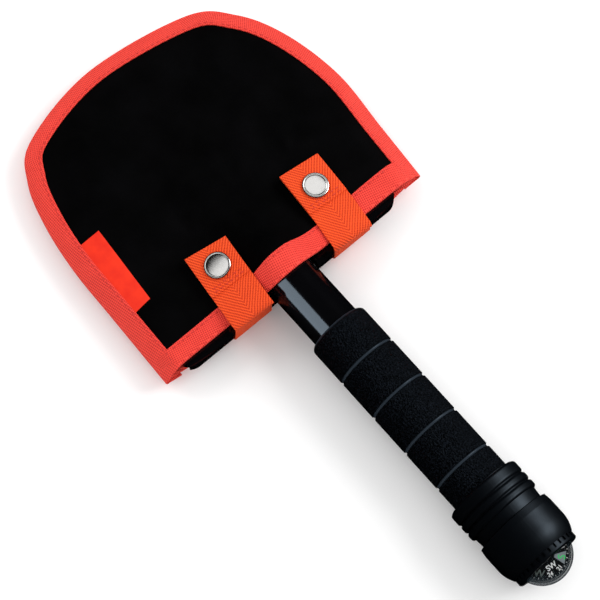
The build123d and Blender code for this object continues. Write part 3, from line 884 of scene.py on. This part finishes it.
def dial_place(heading, radius, lift=0.0):
    """A place on the card for a heading: X to the reader's right, Y towards the card's middle."""
    angle = math.radians(SOUTH_AT - (heading - 180))
    out = Vector((math.cos(angle), math.sin(angle), 0))
    up = -out
    right = up.cross(Vector((0, 0, 1)))
    axes = Matrix((right, up, Vector((0, 0, 1)))).transposed().to_4x4()
    middle = Vector((CARD_MIDDLE.x, CARD_MIDDLE.y, CARD_TOP + 0.02 * MM + lift))
    return Matrix.Translation(middle + out * radius) @ axes


def dial_text(name, text, size, heading, radius, material):
    """Raised letters on the card, their tops towards its middle."""
    curve = bpy.data.curves.new(name + "_curve", "FONT")
    curve.body = text
    curve.size = size
    curve.align_x = "CENTER"
    curve.align_y = "CENTER"
    curve.extrude = 0.04 * MM
    curve.offset = 0.09 * MM
    holder = bpy.data.objects.new(name + "_curve", curve)
    bpy.context.scene.collection.objects.link(holder)
    bpy.context.view_layer.update()
    evaluated = holder.evaluated_get(bpy.context.evaluated_depsgraph_get())
    mesh = bpy.data.meshes.new_from_object(evaluated)
    bpy.data.objects.remove(holder)
    mesh.transform(dial_place(heading, radius))
    mesh.materials.clear()
    mesh.materials.append(material)
    obj = bpy.data.objects.new(name, mesh)
    bpy.context.scene.collection.objects.link(obj)
    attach(obj, "compass_float")


def dial_ticks():
    """Short strokes every ten degrees round the card's rim, longer at every thirty."""
    vertices, faces = [], []
    for heading in range(0, 360, 10):
        half, length = (0.22, 1.0) if heading % 30 == 0 else (0.16, 0.7)
        place = dial_place(heading, 13.5 * MM)
        faces += [tuple(len(vertices) + k for k in face) for face in BOX_FACES]
        for z in (0, 0.05):
            for x, y in ((-half, 0), (half, 0), (half, length), (-half, length)):
                vertices.append(place @ (Vector((x, y, z)) * MM))
    obj = add_mesh("dial_ticks", vertices, faces, smooth=False)
    obj.data.materials.append(MARK)
    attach(obj, "compass_float")


def south_wedge():
    """Pale pointer under the south mark, widening towards the rim."""
    corners = ((-16, 12.6), (16, 12.6), (7, 6.5), (-7, 6.5))
    vertices = []
    for lift in (-0.01 * MM, 0.02 * MM):
        for turn, radius in corners:
            vertices.append(dial_place(180 + turn, radius * MM, lift).translation)
    obj = add_mesh("dial_wedge", vertices, BOX_FACES, smooth=False)
    obj.data.materials.append(PALE)
    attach(obj, "compass_float")


dial_ticks()
south_wedge()
# E and W take the dim grey copy of the marks, which is painted shade; N is white and S green.
for heading, text in ((0, "N"), (90, "E"), (180, "S"), (270, "W")):
    shade = {"S": GREEN, "N": MARK}.get(text, SHADED_MARK)
    dial_text(f"dial_{text}", text, 5.4 * MM, heading, 10.4 * MM, shade)
for heading, text in ((45, "NE"), (135, "SE"), (225, "SW"), (315, "NW")):
    dial_text(f"dial_{text}", text, 3.9 * MM, heading, 8.0 * MM, MARK)
for heading in range(30, 360, 30):
    if heading % 90:
        dial_text(f"dial_{heading}", str(heading // 10), 3.0 * MM, heading, 11.4 * MM, MARK)

# ---------------------------------------------------------------- stage


def softbox(name, place, target, size, power):
    """A rectangular lamp at place that shines at target; size is in metres and power in watts."""
    lamp = bpy.data.lights.new(name, "AREA")
    lamp.shape = "RECTANGLE"
    lamp.size, lamp.size_y = size
    lamp.energy = power
    obj = bpy.data.objects.new(name, lamp)
    obj.location = place
    obj.rotation_euler = (Vector(target) - obj.location).to_track_quat("-Z", "Y").to_euler()
    bpy.context.scene.collection.objects.link(obj)
    return obj


def light_only(lamp, pieces):
    """Lets a lamp light these pieces and nothing else."""
    lit = bpy.data.collections.new(lamp.name + "_lights")
    for piece in pieces:
        lit.objects.link(piece)
    lamp.light_linking.receiver_collection = lit


def floor():
    """A pale floor, left out of reflections so that the black pieces stay black."""
    bpy.ops.mesh.primitive_plane_add(size=6)
    obj = bpy.context.object
    obj.name = "floor"
    r = Recipe("floor", Base_Color=(0.9, 0.9, 0.9, 1), Roughness=0.9, Specular_IOR_Level=0.1)
    obj.data.materials.append(r.material)
    obj.visible_glossy = False


def world():
    """Even white light from all round, also left out of reflections."""
    sky = bpy.data.worlds.new("world")
    sky.use_nodes = True
    background = sky.node_tree.nodes["Background"]
    background.inputs["Color"].default_value = (1, 1, 1, 1)
    background.inputs["Strength"].default_value = 0.95
    sky.cycles_visibility.glossy = False
    bpy.context.scene.world = sky


def camera():
    """Looks down at the shovel from beyond the compass, on its -Y side, 18 degrees off vertical."""
    azimuth, elevation = math.radians(49.214), math.radians(72.242)
    distance = 1.188
    target = Vector((0.083955, -0.004424, 0.0223))
    flat = math.cos(elevation)
    back = Vector((math.sin(azimuth) * flat, -math.cos(azimuth) * flat, math.sin(elevation)))
    right = Vector((math.cos(azimuth), math.sin(azimuth), 0))
    eye = bpy.data.cameras.new("camera")
    eye.lens = 135
    eye.sensor_width = 36
    eye.clip_end = 20
    obj = bpy.data.objects.new("camera", eye)
    turn = Matrix((right, back.cross(right), back)).transposed().to_4x4()
    obj.matrix_world = Matrix.Translation(target + back * distance) @ turn
    bpy.context.scene.collection.objects.link(obj)
    bpy.context.scene.camera = obj


floor()
world()
camera()
softbox("key", (0.5, 1.25, 1.1), (0.08, 0, 0), (1.0, 0.9), 17)
fill = softbox("fill", (-1.3, -0.5, 1.3), (0.08, 0, 0), (1.1, 1.0), 9)
fill.visible_glossy = False

# Two panels overhead and a strip beside the tube put the reflections on the snaps and the tube.
SNAP_PANELS = [
    ("left", (-0.34, -0.41, 1.4), (0.6, 0.9), 1.6),
    ("right", (-0.34, 0.60, 1.4), (0.7, 0.7), 1.5),
]
for side, place, size, power in SNAP_PANELS:
    below = (place[0], place[1], 0)
    overhead = softbox(f"snap_panel_{side}", place, below, size, power)
    light_only(overhead, [bpy.data.objects[f"snap_button_{side}"]])
strip = softbox("side_strip", (-0.08, -0.57, 0.36), (0.09, 0, 0.03), (0.34, 0.64), 4.6)
strip.data.color = COOL
strip.visible_diffuse = False
light_only(strip, [nodes["shaft_tube"], nodes["blade"]])
bpy.context.scene.view_settings.view_transform = "Standard"
